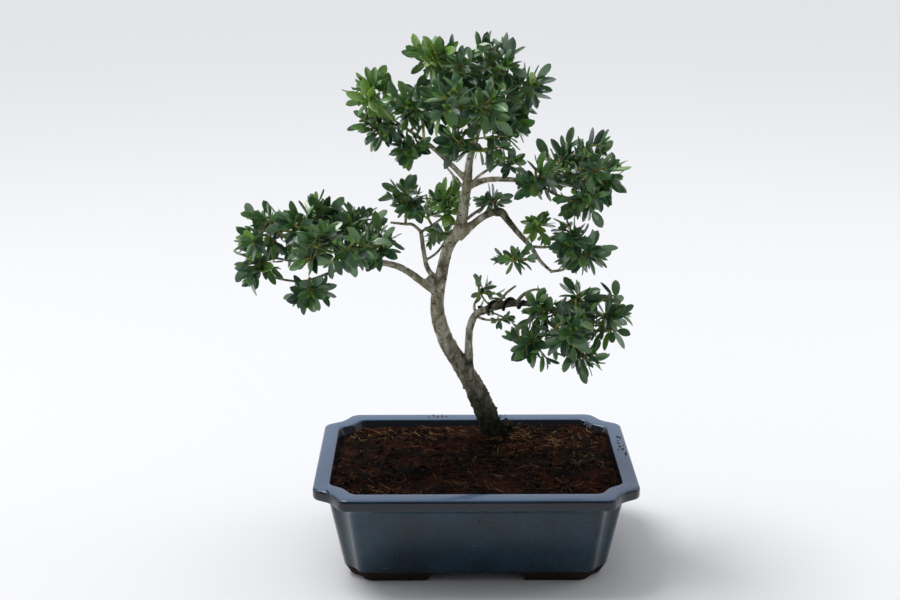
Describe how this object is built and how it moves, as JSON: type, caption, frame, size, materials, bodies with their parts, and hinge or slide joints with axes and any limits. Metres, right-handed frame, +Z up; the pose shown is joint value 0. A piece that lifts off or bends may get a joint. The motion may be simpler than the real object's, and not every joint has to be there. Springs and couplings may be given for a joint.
{
  "type": "japanese holly bonsai",
  "caption": "Small-leaved evergreen bonsai tree with a curved leaning trunk and flat foliage pads, planted in a rectangular glazed ceramic pot with indented corners.",
  "frame": {"origin": "on the ground, under the middle of the whole object's bounding box", "axes": "+Z up from the ground through the tree; the pot's long side and the wide side of the foliage run along X, with the long left branch towards -X; -Y is the front, towards which the tree leans"},
  "size_m": [0.292, 0.168, 0.3897],
  "materials": {
    "glaze": "gloss",
    "soil": "matte",
    "bark": "matte",
    "wire": "satin",
    "mesh": "matte",
    "leaf": "satin",
    "young_leaf": "satin"
  },
  "bodies": {
    "root": {"pot": "glaze", "drainage_mesh_left": "mesh", "drainage_mesh_right": "mesh", "soil": "soil", "trunk": "bark", "training_wire": "wire", "spray_left_tip_low": "leaf", "spray_left_tip_high": "leaf", "spray_left_shoulder": "leaf", "spray_left_top_a": "leaf", "spray_left_top_b": "leaf", "spray_left_top_c": "leaf", "spray_left_right": "leaf", "spray_left_front_a": "leaf", "spray_left_front_b": "leaf", "spray_left_back_a": "leaf", "spray_left_back_b": "leaf", "spray_left_under": "leaf", "spray_left_inside": "leaf", "spray_inner_up": "leaf", "spray_inner_side": "leaf", "spray_inner_shoot": "young_leaf", "spray_inner_low": "leaf", "spray_crown_young_left": "young_leaf", "spray_crown_left_low": "leaf", "spray_crown_left_under": "leaf", "spray_crown_left_mid": "leaf", "spray_crown_left_back": "leaf", "spray_crown_young_top": "young_leaf", "spray_crown_top_a": "leaf", "spray_crown_top_b": "leaf", "spray_crown_top_c": "leaf", "spray_crown_right": "leaf", "spray_crown_right_low": "leaf", "spray_crown_front_a": "leaf", "spray_crown_front_b": "leaf", "spray_crown_front_low": "leaf", "spray_crown_back_a": "leaf", "spray_crown_back_b": "leaf", "spray_sprig": "leaf", "spray_upper_right_near": "leaf", "spray_upper_right_top": "leaf", "spray_upper_right_tall": "leaf", "spray_upper_right_end": "leaf", "spray_upper_right_low": "leaf", "spray_upper_right_back": "leaf", "spray_middle_right_top": "leaf", "spray_middle_right_end": "leaf", "spray_middle_right_left": "leaf", "spray_middle_right_up": "young_leaf", "spray_behind_trunk": "leaf", "spray_low_cluster": "leaf", "spray_low_under": "leaf", "spray_lower_right_left": "leaf", "spray_lower_right_mid": "leaf", "spray_lower_right_end": "leaf", "spray_lower_right_front": "leaf", "spray_lower_right_low_left": "leaf", "spray_lower_right_low": "leaf"}
  },
  "joints": []
}
